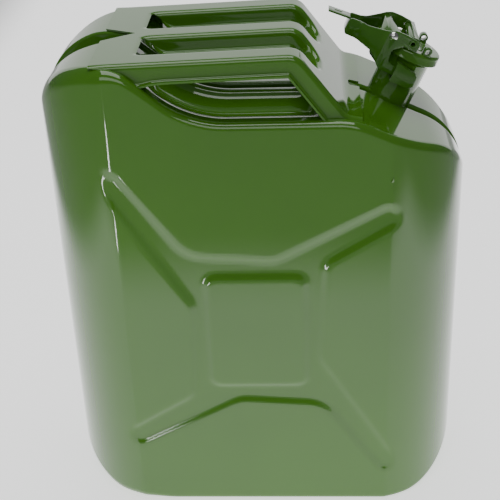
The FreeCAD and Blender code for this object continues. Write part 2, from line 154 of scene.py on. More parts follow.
def floorMaterial():
    # pale floor with a painted pool of light: it glows in a soft-edged patch under and behind the can
    mat = bpy.data.materials.new("paleFloor")
    mat.use_nodes = True
    t = mat.node_tree
    shader = t.nodes["Principled BSDF"]
    tone = studio["floorTone"]
    shader.inputs["Base Color"].default_value = (tone, tone, tone, 1)
    shader.inputs["Roughness"].default_value = 0.8
    shader.inputs["Emission Strength"].default_value = 1.0
    coords = addNode(t, "ShaderNodeTexCoord", (-1000, 0))
    parts = addNode(t, "ShaderNodeSeparateXYZ", (-850, 0))
    t.links.new(coords.outputs["Object"], parts.inputs["Vector"])
    masks = []
    for axis, middle, half in zip("XY", studio["poolMiddle"], studio["poolHalf"]):
        away = addNode(t, "ShaderNodeMath", (-700, 0), operation="SUBTRACT")
        away.inputs[1].default_value = middle
        t.links.new(parts.outputs[axis], away.inputs[0])
        size = addNode(t, "ShaderNodeMath", (-550, 0), operation="ABSOLUTE")
        t.links.new(away.outputs["Value"], size.inputs[0])
        fade = addNode(t, "ShaderNodeMapRange", (-400, 0), interpolation_type="SMOOTHSTEP")
        fade.inputs["From Min"].default_value = half + studio["poolSoft"]
        fade.inputs["From Max"].default_value = half - studio["poolSoft"]
        t.links.new(size.outputs["Value"], fade.inputs["Value"])
        masks.append(fade)
    both = addNode(t, "ShaderNodeMath", (-250, 0), operation="MULTIPLY")
    t.links.new(masks[0].outputs["Result"], both.inputs[0])
    t.links.new(masks[1].outputs["Result"], both.inputs[1])
    # painted light: the patch's emission makes the floor glow there though it is no lamp
    glow = addNode(t, "ShaderNodeMath", (-100, 0), operation="MULTIPLY")
    glow.inputs[1].default_value = studio["poolGlow"]
    t.links.new(both.outputs["Value"], glow.inputs[0])
    t.links.new(glow.outputs["Value"], shader.inputs["Emission Color"])
    return mat


def addStudio():
    bpy.ops.mesh.primitive_plane_add(size=studio["floorSize"], location=(0, 0, 0))
    floor = bpy.context.object
    floor.name = "floor"
    floor.data.materials.append(floorMaterial())
    world = bpy.data.worlds.new("paleRoom")
    bpy.context.scene.world = world
    world.use_nodes = True
    back = world.node_tree.nodes["Background"]
    back.inputs["Color"].default_value = (*studio["roomTone"], 1)
    back.inputs["Strength"].default_value = studio["roomPower"]
    aim, topSize = studio["aim"], studio["topSize"]
    addLight("topBox", studio["topPlace"], aim, topSize, topSize, studio["topPower"])
    x, y, z = studio["backPlace"]
    addLight("backBox", (x, y, z), (x, 0, z), studio["backWide"], studio["backTall"], studio["backPower"])
    front = studio["frontPlace"]
    addLight("frontBox", front, aim, studio["frontWide"], studio["frontTall"], studio["frontPower"])
    # a low strip at the left front edge lights the crease from below
    x, y, z = studio["leftPlace"]
    wide, tall = studio["leftWide"], studio["leftLong"]
    strip = addLight("leftStrip", (x, y, z), (x, y, 1), wide, tall, studio["leftPower"])
    turn = Quaternion((0, 0, 1), math.radians(-studio["leftTurn"]))
    strip.rotation_quaternion = turn @ Quaternion((1, 0, 0), math.pi)


clearSelection()
addCamera()
addStudio()
print("camera, floor and lights are in")


def newGroup(name, ins, outs):
    group = bpy.data.node_groups.new(name, "ShaderNodeTree")
    for label, kind, value in ins:
        sock = group.interface.new_socket(name=label, in_out="INPUT", socket_type=kind)
        if value is not None:
            sock.default_value = value
    for label, kind in outs:
        group.interface.new_socket(name=label, in_out="OUTPUT", socket_type=kind)
    return group


def paintSurfaceGroup():
    # slow drift of colour, paint rubbed thin on edges, uneven gloss and orange-peel
    number = "NodeSocketFloat"
    t = newGroup("paintSurface",
                 [("Tint", "NodeSocketColor", (0.03, 0.11, 0.01, 1)), ("Drift", number, 0.15),
                  ("Drift Size", number, 9.0), ("Edge Wear", number, 0.3), ("Gloss Base", number, 0.1),
                  ("Gloss Spread", number, 0.08), ("Peel Size", number, 420.0), ("Peel", number, 0.04)],
                 [("Colour", "NodeSocketColor"), ("Roughness", number), ("Normal", "NodeSocketVector")])
    gin = addNode(t, "NodeGroupInput", (-1200, 0))
    gout = addNode(t, "NodeGroupOutput", (700, 0))
    coords = addNode(t, "ShaderNodeTexCoord", (-1200, -300))
    drift = addNode(t, "ShaderNodeTexNoise", (-900, 200))
    drift.inputs["Detail"].default_value = 3
    t.links.new(coords.outputs["Object"], drift.inputs["Vector"])
    t.links.new(gin.outputs["Drift Size"], drift.inputs["Scale"])
    swing = addNode(t, "ShaderNodeMapRange", (-700, 200))
    swing.inputs["From Min"].default_value = 0.3
    swing.inputs["From Max"].default_value = 0.7
    swing.inputs["To Min"].default_value = -0.5
    swing.inputs["To Max"].default_value = 0.5
    t.links.new(drift.outputs["Fac"], swing.inputs["Value"])
    amount = addNode(t, "ShaderNodeMath", (-520, 200), operation="MULTIPLY_ADD")
    t.links.new(swing.outputs["Result"], amount.inputs[0])
    t.links.new(gin.outputs["Drift"], amount.inputs[1])
    amount.inputs[2].default_value = 1.0
    tinted = addNode(t, "ShaderNodeHueSaturation", (-320, 200))
    t.links.new(amount.outputs["Value"], tinted.inputs["Value"])
    t.links.new(gin.outputs["Tint"], tinted.inputs["Color"])
    geo = addNode(t, "ShaderNodeNewGeometry", (-900, -60))
    edge = addNode(t, "ShaderNodeMapRange", (-520, -60))
    edge.inputs["From Min"].default_value = 0.53
    edge.inputs["From Max"].default_value = 0.62
    t.links.new(geo.outputs["Pointiness"], edge.inputs["Value"])
    rub = addNode(t, "ShaderNodeTexNoise", (-900, -260))
    rub.inputs["Scale"].default_value = 160
    rub.inputs["Detail"].default_value = 5
    t.links.new(coords.outputs["Object"], rub.inputs["Vector"])
    rubMask = addNode(t, "ShaderNodeMath", (-320, -60), operation="MULTIPLY")
    t.links.new(edge.outputs["Result"], rubMask.inputs[0])
    t.links.new(rub.outputs["Fac"], rubMask.inputs[1])
    wear = addNode(t, "ShaderNodeMath", (-150, -60), operation="MULTIPLY", use_clamp=True)
    t.links.new(rubMask.outputs["Value"], wear.inputs[0])
    t.links.new(gin.outputs["Edge Wear"], wear.inputs[1])
    worn = addNode(t, "ShaderNodeMix", (80, 200), data_type="RGBA")
    worn.inputs["B"].default_value = (0.10, 0.20, 0.05, 1)
    t.links.new(wear.outputs["Value"], worn.inputs["Factor"])
    t.links.new(tinted.outputs["Color"], worn.inputs["A"])
    t.links.new(worn.outputs["Result"], gout.inputs["Colour"])
    haze = addNode(t, "ShaderNodeTexNoise", (-900, -480))
    haze.inputs["Scale"].default_value = 26
    haze.inputs["Detail"].default_value = 6
    t.links.new(coords.outputs["Object"], haze.inputs["Vector"])
    rough = addNode(t, "ShaderNodeMath", (-150, -300), operation="MULTIPLY_ADD")
    t.links.new(haze.outputs["Fac"], rough.inputs[0])
    t.links.new(gin.outputs["Gloss Spread"], rough.inputs[1])
    t.links.new(gin.outputs["Gloss Base"], rough.inputs[2])
    roughEdge = addNode(t, "ShaderNodeMath", (80, -300), operation="MULTIPLY_ADD")
    t.links.new(wear.outputs["Value"], roughEdge.inputs[0])
    roughEdge.inputs[1].default_value = 0.25
    t.links.new(rough.outputs["Value"], roughEdge.inputs[2])
    t.links.new(roughEdge.outputs["Value"], gout.inputs["Roughness"])
    peel = addNode(t, "ShaderNodeTexNoise", (-520, -560))
    peel.inputs["Detail"].default_value = 1.5
    t.links.new(coords.outputs["Object"], peel.inputs["Vector"])
    t.links.new(gin.outputs["Peel Size"], peel.inputs["Scale"])
    bump = addNode(t, "ShaderNodeBump", (80, -520))
    bump.inputs["Distance"].default_value = 0.0002
    t.links.new(gin.outputs["Peel"], bump.inputs["Strength"])
    t.links.new(peel.outputs["Fac"], bump.inputs["Height"])
    t.links.new(bump.outputs["Normal"], gout.inputs["Normal"])
    return t


paintSurface = paintSurfaceGroup()


def surfaceMaterial(name, settings, shaderSettings):
    mat = bpy.data.materials.new(name)
    mat.use_nodes = True
    t = mat.node_tree
    shader = t.nodes["Principled BSDF"]
    group = addNode(t, "ShaderNodeGroup", (-300, 0), node_tree=paintSurface)
    for key, value in settings.items():
        group.inputs[key].default_value = value
    for key, value in shaderSettings.items():
        shader.inputs[key].default_value = value
    t.links.new(group.outputs["Colour"], shader.inputs["Base Color"])
    t.links.new(group.outputs["Roughness"], shader.inputs["Roughness"])
    t.links.new(group.outputs["Normal"], shader.inputs["Normal"])
    return mat


enamel = surfaceMaterial("greenEnamel",
    {"Tint": (0.060, 0.185, 0.010, 1), "Drift": 0.10, "Drift Size": 7.0, "Edge Wear": 0.35,
     "Gloss Base": 0.05, "Gloss Spread": 0.05, "Peel Size": 380.0, "Peel": 0.05},
    {"Coat Weight": 0.5, "Coat Roughness": 0.03, "IOR": 1.5})
leverPaint = surfaceMaterial("leverEnamel",
    {"Tint": (0.045, 0.150, 0.009, 1), "Drift": 0.14, "Drift Size": 40.0, "Edge Wear": 0.8,
     "Gloss Base": 0.09, "Gloss Spread": 0.08, "Peel Size": 520.0, "Peel": 0.07},
    {"Coat Weight": 0.5, "Coat Roughness": 0.05, "IOR": 1.5})
rubber = surfaceMaterial("gasketRubber",
    {"Tint": (0.16, 0.05, 0.035, 1), "Drift": 0.2, "Drift Size": 90.0, "Edge Wear": 0.0,
     "Gloss Base": 0.42, "Gloss Spread": 0.2, "Peel Size": 900.0, "Peel": 0.25},
    {"IOR": 1.45})
zinc = surfaceMaterial("zincRivet",
    {"Tint": (0.80, 0.80, 0.78, 1), "Drift": 0.1, "Drift Size": 120.0, "Edge Wear": 0.0,
     "Gloss Base": 0.14, "Gloss Spread": 0.15, "Peel Size": 900.0, "Peel": 0.12},
    {"Metallic": 1.0})
print("finishes are mixed")


# the two pressed shells, lengths in millimetres
shell = {"width": 345.0, "face": 82.5, "crease": 108.5, "creaseSoft": 0.35, "humpTop": 412.5, "saddle": 369.0,
         "humpKnee": -98.0, "humpSlope": 39.4, "shoulderStart": 80.0, "shoulderFall": 0.45, "sheet": 1.2,
         "corners": (46, 60, 30, 80, 60, 58, 46),
         "edge": 10.5, "edgeTight": 5.5, "tightFrom": -118.0, "tightOver": 40.0,
         "grooveWide": 15.5, "grooveNarrow": 4.5, "grooveWideEnd": -128.0, "grooveTaperEnd": -90.0,
         "grooveDepth": 8.0, "grooveDeeper": 3.0, "deeperFrom": -92.0, "deeperOver": 16.0, "lip": 2.2,
         "coreHalf": 108.5, "coreLow": 50.0, "coreHigh": 322.0, "coreStep": 2.5, "joinSteps": 20,
         "rightCorner": 356.0,
         "rowsFrom": 16.0, "mostNeed": 6.0, "flatRows": 12, "edgeRows": 8, "wallRows": 40, "lipRows": 4,
         "floorRows": 13, "crossDepth": 2.5, "crossBand": 7.0, "crossMiddle": 182.0,
         "frameHalf": (41.0, 54.0), "frameRound": 9.0,
         "scoopLeft": -84.0, "scoopRight": 58.0, "scoopIn": 12.0, "scoopOut": 68.0, "scoopDepth": 6.5,
         "scoopSteps": ((0.0, 1.3), (5.0, 1.2)), "waiting": 500.0, "smoothAngle": 50}

# the neck stands just behind the seam; its heights run along its own leaning axis
neck = {"base": (109.9, 12.5, 350.795), "lean": math.degrees(math.atan(0.45)), "radius": 18.75, "wall": 1.5,
        "foot": -4.6, "mouth": 43.0, "surface": -3.3, "beadRadius": 20.2, "beadTall": 4.0,
        "flangeRadius": 20.7, "seat": 21.0, "seatShort": 0.6177}
neckLean = Matrix.Rotation(math.radians(neck["lean"]), 4, "Y")
neckFrame = Matrix.Translation(neck["base"]) @ neckLean


def roundedLine(points, radii, step=1.0):
    # closed outline with each corner turned by an arc of its own radius
    line = []
    count = len(points)
    for i in range(count):
        here = Vector(points[i])
        back = (Vector(points[i - 1]) - here).normalized()
        on = (Vector(points[(i + 1) % count]) - here).normalized()
        half = back.angle(on) / 2
        reach = radii[i] / math.tan(half)
        start, end = here + back * reach, here + on * reach
        centre = here + (back + on).normalized() * radii[i] / math.sin(half)
        a, b = start - centre, end - centre
        turn = a.angle_signed(b) * -1
        pieces = max(3, int(abs(turn) * radii[i] / step))
        for k in range(pieces + 1):
            angle = turn * k / pieces
            line.append((centre.x + a.x * math.cos(angle) - a.y * math.sin(angle),
                         centre.y + a.x * math.sin(angle) + a.y * math.cos(angle)))
    return np.array(line)


def evenLine(line, step):
    closed = np.vstack([line, line[:1]])
    length = np.concatenate([[0], np.cumsum(np.linalg.norm(np.diff(closed, axis=0), axis=1))])
    count = int(length[-1] / step)
    at = np.linspace(0, length[-1], count, endpoint=False)
    return np.stack([np.interp(at, length, closed[:, 0]), np.interp(at, length, closed[:, 1])], 1)


def bodyOutline():
    half = shell["width"] / 2
    top, saddle = shell["humpTop"], shell["saddle"]
    valley = shell["humpKnee"] + (top - saddle) / math.tan(math.radians(shell["humpSlope"]))
    cornerTop = saddle - shell["shoulderFall"] * (half - shell["shoulderStart"])
    points = [(-half, 0), (-half, top), (shell["humpKnee"], top), (valley, saddle),
              (shell["shoulderStart"], saddle), (half, cornerTop), (half, 0)]
    return evenLine(roundedLine(points, shell["corners"]), 0.5)


def inwardFrom(outline):
    # the direction into the can at each point of its outline
    tangent = np.roll(outline, -1, axis=0) - np.roll(outline, 1, axis=0)
    tangent /= np.linalg.norm(tangent, axis=1)[:, None]
    inward = np.stack([tangent[:, 1], -tangent[:, 0]], 1)
    if signedGap(outline, *(outline[:1] + inward[:1] * 3).T)[0] > 0:
        inward = -inward
    return inward


def crossOutline():
    # half of the cross is listed, the other half turned by half a turn
    half = [(-120, 143.5), (-107, 147), (-55, 73), (17, 68), (106, 116), (119, 109), (119, 103.9), (57, 65),
            (51, -26), (120, -138.6)]
    middle = shell["crossMiddle"]
    points = [(x, middle + z) for x, z in half] + [(-x, middle - z) for x, z in half]
    return evenLine(roundedLine(points, [0.5, 7, 30, 25, 6, 0.5, 0.5, 14, 25, 0.5] * 2), 2.0)


def signedGap(line, x, z):
    # distance to a closed outline, negative inside
    a = line
    b = np.roll(line, -1, axis=0)
    best = np.full(x.shape, 1e9)
    inside = np.zeros(x.shape, bool)
    for (ax, az), (bx, bz) in zip(a, b):
        dx, dz = bx - ax, bz - az
        t = np.clip(((x - ax) * dx + (z - az) * dz) / (dx * dx + dz * dz + 1e-12), 0, 1)
        best = np.minimum(best, np.hypot(x - ax - t * dx, z - az - t * dz))
        crosses = (az > z) != (bz > z)
        with np.errstate(divide="ignore", invalid="ignore"):
            inside ^= crosses & (x < (bx - ax) * (z - az) / (bz - az) + ax)
    return np.where(inside, -best, best)


def ease(t):
    t = np.clip(t, 0, 1)
    return t * t * (3 - 2 * t)


sideReach = shell["width"] / 2 - shell["crease"]
sideRadius = (sideReach ** 2 + shell["face"] ** 2) / (2 * sideReach)
sideCentre = shell["width"] / 2 - sideRadius


def planDepth(x, inset):
    # how far the plain shell stands out at x, let in by inset, with the crease softened
    across = np.maximum(np.abs(x) - sideCentre, 0)
    arc = np.sqrt(np.maximum((sideRadius - inset) ** 2 - across ** 2, 0))
    flat = shell["face"] - inset
    soft = shell["creaseSoft"]
    h = np.clip(0.5 + 0.5 * (arc - flat) / soft, 0, 1)
    return arc * (1 - h) + flat * h - soft * h * (1 - h)


def pressedDepth(x, z, crossLine, frameLine):
    # the cross is let into the flat face and runs out into the side; its middle rectangle stays at face level
    band = shell["crossBand"]
    cross = ease(0.5 - signedGap(crossLine, x, z) / band)
    frameRise = ease(0.5 - signedGap(frameLine, x, z) / band)
    plain = planDepth(x, 0)
    over = np.maximum(plain - (shell["face"] - shell["crossDepth"]), 0)
    return plain - over * cross * (1 - frameRise)


def grooveHalf(x):
    # half the seam groove's width, wide round the left end and narrow elsewhere
    t = np.clip((x - shell["grooveWideEnd"]) / (shell["grooveTaperEnd"] - shell["grooveWideEnd"]), 0, 1)
    return shell["grooveWide"] + (shell["grooveNarrow"] - shell["grooveWide"]) * t


def grooveDepth(x):
    deeper = shell["grooveDeeper"] * ease((shell["deeperFrom"] - x) / shell["deeperOver"])
    return shell["grooveDepth"] + deeper


def seatHalf(px, side):
    # half the groove's width where it opens round the neck into a seat, shorter along X than across
    along = np.abs(px - neck["base"][0]) / neck["seatShort"]
    seat = np.sqrt(np.maximum(neck["seat"] ** 2 - along ** 2, 0))
    return seat + side * neck["base"][1] * ease((neck["seat"] + 2 - along) / 4)


def sectionRows(px, pz, nx, nz, side):
    # each row is a distance in from the outline and a depth
    # they run over the flat, round the edge, down the wall, over the lip and across the groove
    rows = []
    tight = ease((px - shell["tightFrom"]) / shell["tightOver"])
    edge = (shell["edge"] + (shell["edgeTight"] - shell["edge"]) * tight) * (1 - nx ** 4) + 0.01
    lip = shell["lip"]
    gap = grooveHalf(px)
    gap = np.where(pz > 300, np.maximum(gap, seatHalf(px, side)), gap)

    def depthAt(d, inset):
        return planDepth(px - d * nx, inset)

    # the least inset at which the plain shell still reaches the groove's lip
    need = np.zeros_like(px)
    most = shell["mostNeed"]
    for guess in np.linspace(most, 0, 61):
        need = np.where(depthAt(guess, edge * 0) >= gap + lip, guess, need)
    need = np.minimum(need, most)
    flatEnd = np.maximum(edge, need + 0.01)
    start, last = shell["rowsFrom"], shell["flatRows"]
    for k in range(last + 1):
        # even steps in depth angle follow the side's curve
        left = 1 - k / last
        d = start + (flatEnd - start) * (1 - left ** 2 * nx ** 2 - left * (1 - nx ** 2))
        rows.append((d, depthAt(d, 0)))
    for k in range(1, shell["edgeRows"] + 1):
        a = math.pi / 2 * (1 - k / shell["edgeRows"])
        drop = edge * (1 - math.sin(a))
        d = np.maximum(edge * (1 - math.cos(a)), need)
        rows.append((d, depthAt(d, drop)))
    rimD, rimY = rows[-1]
    wallEnd = np.minimum(gap + lip, rimY)
    for k in range(1, shell["wallRows"] + 1):
        rows.append((rimD, rimY + (wallEnd - rimY) * k / shell["wallRows"]))
    lipFall = lip * np.minimum(1, wallEnd / (gap + lip))
    for k in range(1, shell["lipRows"] + 1):
        a = math.pi / 2 * k / shell["lipRows"]
        rows.append((rimD + lip * (1 - math.cos(a)), wallEnd - lipFall * math.sin(a)))
    depth = grooveDepth(px)
    lipY = rows[-1][1]
    rows.append((depth * 0.6 + rimD, lipY - 0.2))
    rows.append((depth - 1.2 + rimD * 0.5, lipY - 0.5))
    rows.append((depth - 0.3, lipY - 1.3))
    floorY = lipY - 2.4
    for k in range(shell["floorRows"] + 1):
        rows.append((depth, floorY * (1 - k / shell["floorRows"])))
    return rows


def scoopDip(px, y):
    # two small steps round the rim of the hand hollow, then a smooth bowl
    along = ease((px - shell["scoopLeft"]) / 16) * ease((shell["scoopRight"] - px) / 12)
    inner, outer = shell["scoopIn"], shell["scoopOut"]
    steps = 0
    for start, tall in shell["scoopSteps"]:
        steps = steps + tall * ease((outer - start - y) / 1.6) * ease((y - inner) / 6)
    t = np.clip((y - inner) / (outer - 6 - inner), 0, 1)
    bowl = np.sin(math.pi * t) ** 0.8
    return along * (steps + shell["scoopDepth"] * bowl)


def offNeckAxis(co):
    # how far points lie from the neck's own axis, and in which direction
    axis = np.array((neckFrame.to_3x3() @ Vector((0, 0, 1))).normalized())
    gap = co - np.array(neck["base"])
    away = gap - (gap @ axis)[:, None] * axis
    return np.linalg.norm(away, axis=1), away


def makeCore(name, columns, lines):
    # the flat middle of the face; its rim is numbered up the left, along the top, down the right and back
    half, low, high = shell["coreHalf"], shell["coreLow"], shell["coreHigh"]
    clearSelection()
    bpy.ops.mesh.primitive_grid_add(x_subdivisions=columns, y_subdivisions=lines, size=1)
    obj = bpy.context.object
    obj.name = name
    bpy.ops.object.mode_set(mode="EDIT")
    bm = bmesh.from_edit_mesh(obj.data)
    station = bm.verts.layers.int.new("station")
    total = 2 * (columns + lines)
    place = np.zeros((total, 2))
    side = np.zeros(total, int)
    share = np.zeros(total)
    for v in bm.verts:
        v.co = Vector((v.co.x * 2 * half, 0, low + (v.co.y + 0.5) * (high - low)))
        v[station] = -1
        i = round((v.co.x + half) / (2 * half) * columns)
        j = round((v.co.z - low) / (high - low) * lines)
        if i == 0 and j < lines:
            k, which, t = j, 0, j / lines
        elif j == lines and i < columns:
            k, which, t = lines + i, 1, i / columns
        elif i == columns and j > 0:
            k, which, t = lines + columns + (lines - j), 2, (lines - j) / lines
        elif j == 0 and i > 0:
            k, which, t = 2 * lines + columns + (columns - i), 3, (columns - i) / columns
        else:
            continue
        v[station] = k
        place[k] = (v.co.x, v.co.z)
        side[k], share[k] = which, t
    return obj, place, side, share


def rimLevels(place, px, pz, nx, nz, side):
    # where every loop round the core goes: first across the face, then along the section's rows
    rows = sectionRows(px, pz, -nx, -nz, side)
    firstX, firstZ = px + rows[0][0] * nx, pz + rows[0][0] * nz
    levels = []
    for k in range(shell["joinSteps"]):
        t = max(0.02, k / shell["joinSteps"])
        x, z = place[:, 0], place[:, 1]
        levels.append((x + (firstX - x) * t, z + (firstZ - z) * t, None))
    for d, y in rows:
        dip = scoopDip(px, y) * (pz > shell["saddle"] - 20) * (np.abs(nz) > 0.5)
        reach = d + dip * (d < shell["edge"] + 3)
        levels.append((px + reach * nx, pz + reach * nz, y))
    return levels


def growRim(obj, levels):
    # a loop whose depth is known waits behind the rest, which take theirs from the plan later
    for lx, lz, ly in levels:
        bm = bmesh.from_edit_mesh(obj.data)
        for v in bm.verts:
            v.select_set(False)
        for e in bm.edges:
            if e.is_boundary:
                e.select_set(True)
        bm.select_flush_mode()
        bmesh.update_edit_mesh(obj.data)
        bpy.ops.mesh.extrude_region_move()
        bm = bmesh.from_edit_mesh(obj.data)
        station = bm.verts.layers.int["station"]
        for v in bm.verts:
            if v.select:
                k = v[station]
                v.co = Vector((lx[k], -1.0 if ly is None else -ly[k] - shell["waiting"], lz[k]))
    objectMode()


def setDepths(obj, side):
    co = np.zeros(len(obj.data.vertices) * 3)
    obj.data.vertices.foreach_get("co", co)
    co = co.reshape(-1, 3)
    w, h = shell["frameHalf"]
    middle = shell["crossMiddle"]
    corners = [(-w, middle - h), (-w, middle + h), (w, middle + h), (w, middle - h)]
    frameLine = evenLine(roundedLine(corners, [shell["frameRound"]] * 4), 2.0)
    pressed = pressedDepth(co[:, 0], co[:, 2], crossOutline(), frameLine)
    known = co[:, 1] < -0.8 * shell["waiting"]
    co[:, 1] = np.where(known, -(co[:, 1] + shell["waiting"]), pressed) * side
    obj.data.vertices.foreach_set("co", (co * mm).ravel())
    obj.data.update()
    return co


def faceOutwards(obj, side):
    editMode(obj)
    bpy.ops.mesh.select_all(action="SELECT")
    bpy.ops.mesh.normals_make_consistent(inside=False)
    objectMode()
    middle = Vector((0, side * shell["face"], shell["crossMiddle"])) * mm
    middleFace = min(obj.data.polygons, key=lambda p: (p.center - middle).length)
    if middleFace.normal.y * side < 0:
        turnFacesOver(obj)


def cutNeckHole(obj, co):
    # what lies inside the tube goes, and the hole's rim is drawn in until the tube covers it
    radius = neck["radius"]
    inside = (offNeckAxis(co)[0] < radius - 1.0) & (co[:, 2] > 320)
    editMode(obj)
    bm = bmesh.from_edit_mesh(obj.data)
    bm.verts.ensure_lookup_table()
    for v in bm.verts:
        v.select_set(bool(inside[v.index]))
    bm.select_flush_mode()
    bmesh.update_edit_mesh(obj.data)
    bpy.ops.mesh.delete(type="VERT")
    bm = bmesh.from_edit_mesh(obj.data)
    for v in bm.verts:
        point = np.array(v.co)[None] / mm
        reach, away = offNeckAxis(point)
        if v.is_boundary and reach[0] < radius + 3 and abs(point[0, 1]) > 0.01:
            v.co -= Vector(away[0] * (1 - (radius - 0.9) / reach[0]) * mm)
    bmesh.update_edit_mesh(obj.data)
    objectMode()


def makeShell(name, side):
    outline = bodyOutline()
    crease = shell["crease"]
    start = np.argmin(np.hypot(outline[:, 0] + crease, outline[:, 1]))
    outline = np.roll(outline, -start, axis=0)
    inward = inwardFrom(outline)
    # the core's four corners meet the outline where the creases do
    marks = [0]
    for cx, cz in ((-crease, shell["humpTop"]), (crease, shell["rightCorner"]), (crease, 0)):
        marks.append(int(np.argmin(np.hypot(outline[:, 0] - cx, outline[:, 1] - cz))))
    marks = np.array(marks + [len(outline)])
    columns = int(2 * shell["coreHalf"] / shell["coreStep"])
    lines = int((shell["coreHigh"] - shell["coreLow"]) / shell["coreStep"])
    obj, place, which, share = makeCore(name, columns, lines)
    where = marks[which] + (marks[which + 1] - marks[which]) * share
    index = np.arange(len(outline) + 1)
    ring = np.vstack([outline, outline[:1]])
    ringIn = np.vstack([inward, inward[:1]])
    px, pz = np.interp(where, index, ring[:, 0]), np.interp(where, index, ring[:, 1])
    nx, nz = np.interp(where, index, ringIn[:, 0]), np.interp(where, index, ringIn[:, 1])
    size = np.hypot(nx, nz)
    growRim(obj, rimLevels(place, px, pz, nx / size, nz / size, side))
    co = setDepths(obj, side)
    faceOutwards(obj, side)
    cutNeckHole(obj, co)
    addSheet(obj, shell["sheet"])
    smooth(obj, shell["smoothAngle"])
    return obj


for name, side, node in (("shellFront", -1, "shell_front"), ("shellRear", 1, "shell_rear")):
    dress(makeShell(name, side), name, "can", enamel, "enamel", node)


# the weld bead in the seam groove
bead = {"thick": 1.7, "sink": 0.7, "every": 4}


def makeSeamBead():
    # follows the groove floor all the way round and stops at the neck
    outline = bodyOutline()
    deeper = (grooveDepth(outline[:, 0]) - shell["grooveDepth"]) * (outline[:, 1] > 0)
    depth = shell["grooveDepth"] + deeper + bead["sink"]
    path = (outline + inwardFrom(outline) * depth[:, None])[::bead["every"]]
    clearSelection()
    bpy.ops.mesh.primitive_circle_add(vertices=len(path), radius=1)
    obj = bpy.context.object
    bpy.ops.object.mode_set(mode="EDIT")
    bm = bmesh.from_edit_mesh(obj.data)
    for v, (x, z) in zip(bm.verts, path):
        v.co = Vector((x, 0, z)) * mm
        reach = offNeckAxis(np.array(v.co)[None] / mm)[0]
        v.select_set(bool(reach[0] < neck["radius"] - 0.7) and v.co.z > 0.3)
    bm.select_flush_mode()
    bmesh.update_edit_mesh(obj.data)
    bpy.ops.mesh.delete(type="VERT")
    objectMode()
    bpy.ops.object.convert(target="CURVE")
    curve = bpy.context.object
    curve.data.bevel_depth = bead["thick"] * mm
    curve.data.bevel_resolution = 2
    curve.data.use_fill_caps = True
    bpy.ops.object.convert(target="MESH")
    obj = bpy.context.object
    smooth(obj, 60)
    return obj


dress(makeSeamBead(), "seamBead", "can", enamel, "enamel", "seam_weld")
print("shells are pressed")


# the carrying handle is one pressing: three bars between two yokes
handle = {"left": -118.0, "leftTop": 414.2, "rise": 1.8, "bend": 38.0, "bendRound": 16.0, "legFall": 53.0,
          "knee": 370.8, "kneeRound": 12.0, "foot": (86.0, 368.0), "half": 75.0, "grid": 2.0, "sheet": 1.5,
          "slotIn": 12.0, "slotOut": 51.0, "slotLeft": -85.0, "slotRight": 54.0, "slotRoundLeft": 2.5,
          "slotRoundRight": 15.0, "edge": 4.0, "skirt": 14.0, "lip": 2.4,
          "notchTip": -92.0, "notchHalf": 15.0,
          "footNotch": 5.5, "footNotchLong": 9.0, "legEnd": 364.0, "leastSkirt": 3.5,
          "skirtAt": ((-118, 1.2), (-110, 2.6), (-102, 6.5), (-95, 11.5), (-88, 15.5), (-82, 16.5),
                      (-72, 14.6), (-62, 14))}


def bentPath(points, radii, step):
    # open path with its inner corners turned by arcs
    path = [points[0]]
    for i in range(1, len(points) - 1):
        here = Vector(points[i])
        back = (Vector(points[i - 1]) - here).normalized()
        on = (Vector(points[i + 1]) - here).normalized()
        half = back.angle(on) / 2
        start = here + back * radii[i] / math.tan(half)
        end = here + on * radii[i] / math.tan(half)
        centre = here + (back + on).normalized() * radii[i] / math.sin(half)
        a, b = start - centre, end - centre
        turn = -a.angle_signed(b)
        for k in range(25):
            angle = turn * k / 24
            path.append((centre.x + a.x * math.cos(angle) - a.y * math.sin(angle),
                         centre.y + a.x * math.sin(angle) + a.y * math.cos(angle)))
    path.append(points[-1])
    path = np.array(path, float)
    length = np.concatenate([[0], np.cumsum(np.linalg.norm(np.diff(path, axis=0), axis=1))])
    at = np.arange(0, length[-1], step)
    at = np.append(at, length[-1])
    return at, np.stack([np.interp(at, length, path[:, 0]), np.interp(at, length, path[:, 1])], 1)


def nearestOn(line, point):
    # closest point of a closed outline and the direction pointing to its right-hand side
    a, b = line, np.roll(line, -1, axis=0)
    d = b - a
    t = np.clip(((point - a) * d).sum(1) / ((d * d).sum(1) + 1e-12), 0, 1)
    spots = a + d * t[:, None]
    gaps = np.linalg.norm(spots - point, axis=1)
    i = int(np.argmin(gaps))
    direction = d[i] / (np.linalg.norm(d[i]) + 1e-12)
    return gaps[i], spots[i], np.array([direction[1], -direction[0]])


